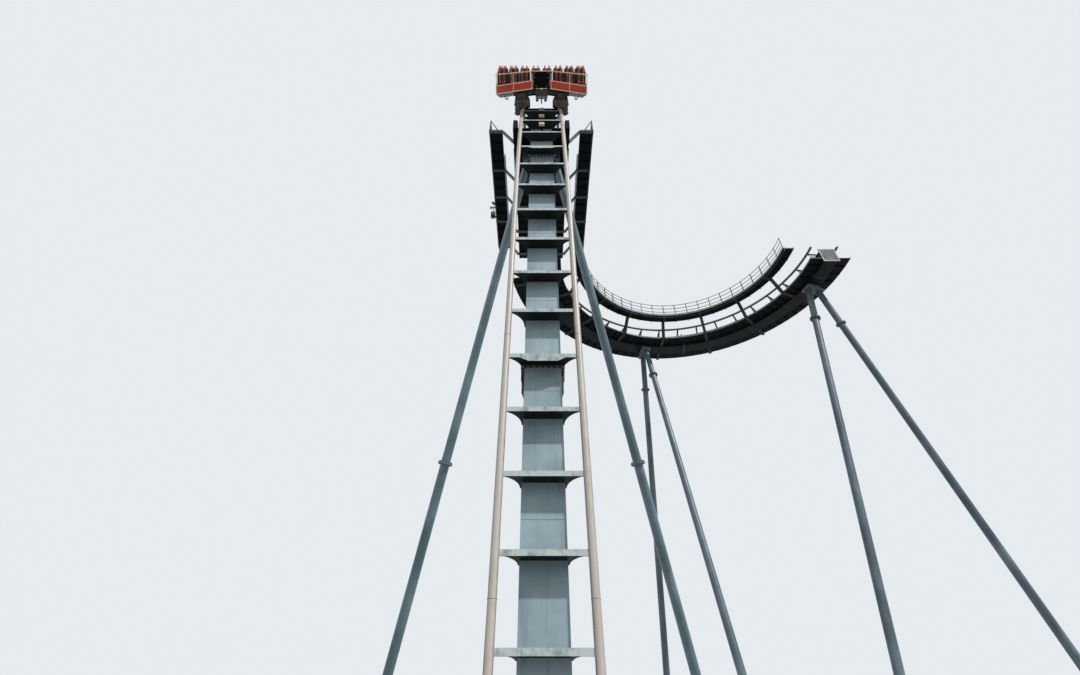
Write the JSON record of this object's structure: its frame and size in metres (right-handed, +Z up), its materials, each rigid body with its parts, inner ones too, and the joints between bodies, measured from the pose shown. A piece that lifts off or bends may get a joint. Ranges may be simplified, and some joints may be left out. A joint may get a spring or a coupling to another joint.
{
  "type": "vertical-drop ride tower",
  "caption": "Steel drop tower of a vertical-drop ride: steep track on a box girder, crest with an eight-abreast car, walkways, level half turn and raking legs.",
  "frame": {"origin": "middle of the drop girder where its ground plate meets the ground", "axes": "+X across the track to the right as seen from in front of the drop, +Y back from the drop towards the turn, +Z up"},
  "size_m": [32.9774, 29.6102, 30.1158],
  "materials": {
    "girder_paint": "satin dark green-grey paint",
    "rail_steel": "pale grey paint worn by the wheels",
    "tie_paint": "satin grey paint, darker on the webs",
    "dark_paint": "near-black satin paint",
    "leg_paint": "satin green-grey paint",
    "head_paint": "light grey paint",
    "galvanised": "dull galvanised steel",
    "sensor_case": "cream plastic case",
    "car_frame": "brown-black grease-darkened paint",
    "wheel_tread": "brown polyurethane tread",
    "car_red": "glossy orange-red paint",
    "car_cream": "cream paint",
    "car_black": "glossy black paint",
    "step_paint": "blue-grey paint",
    "seat_shell": "moulded black shell",
    "restraint_pad": "orange moulded padding"
  },
  "bodies": {
    "structure": {"drop_foot_plate": "dark_paint", "drop_girder_lower": "girder_paint", "drop_girder_upper": "girder_paint", "bend_girder": "girder_paint", "crest_girder": "girder_paint", "holding_girder": "girder_paint", "turn_girder_entry": "girder_paint", "turn_girder_exit": "girder_paint", "girder_collars": "dark_paint", "drop_rails": "rail_steel", "crest_rails": "rail_steel", "holding_rails": "rail_steel", "turn_rails": "rail_steel", "drop_ties": "tie_paint", "crest_ties": "tie_paint", "holding_ties": "tie_paint", "turn_ties": "tie_paint", "leg_saddle": "dark_paint", "left_leg_upper": "leg_paint", "left_leg_lower": "leg_paint", "right_leg_upper": "leg_paint", "right_leg_lower": "leg_paint", "near_frame_inner_leg": "leg_paint", "near_frame_outer_leg": "leg_paint", "far_frame_inner_leg": "leg_paint", "far_frame_outer_leg": "leg_paint", "turn_frame_heads": "head_paint", "left_walkway": "dark_paint", "right_walkway": "dark_paint", "left_railing": "galvanised", "right_railing": "galvanised", "walkway_arms": "galvanised", "turn_walkway": "dark_paint", "turn_railing": "galvanised", "turn_walkway_arms": "dark_paint", "service_decks": "dark_paint", "turn_service_decks": "dark_paint", "holding_drive": "dark_paint", "service_mast": "dark_paint", "crest_side_plates": "dark_paint", "track_sensors": "sensor_case"},
    "car": {"car_chassis": "car_frame", "wheel_carriers": "car_frame", "load_wheels": "wheel_tread", "guide_wheels": "wheel_tread", "car_floor": "car_frame", "front_panels": "car_red", "front_barrier": "car_cream", "nose_shield": "car_black", "car_end_guards": "car_red", "car_steps": "step_paint", "brake_fins": "step_paint", "front_seats": "seat_shell", "rear_seats": "seat_shell", "front_restraints": "restraint_pad", "rear_restraints": "restraint_pad"}
  },
  "joints": [
    {"name": "car_travel", "type": "hinge", "parent": "structure", "child": "car", "pos_m": [0, 5.96751, 23.72161], "axis": [1, 0, 0], "range_deg": [-51, 4]}
  ]
}
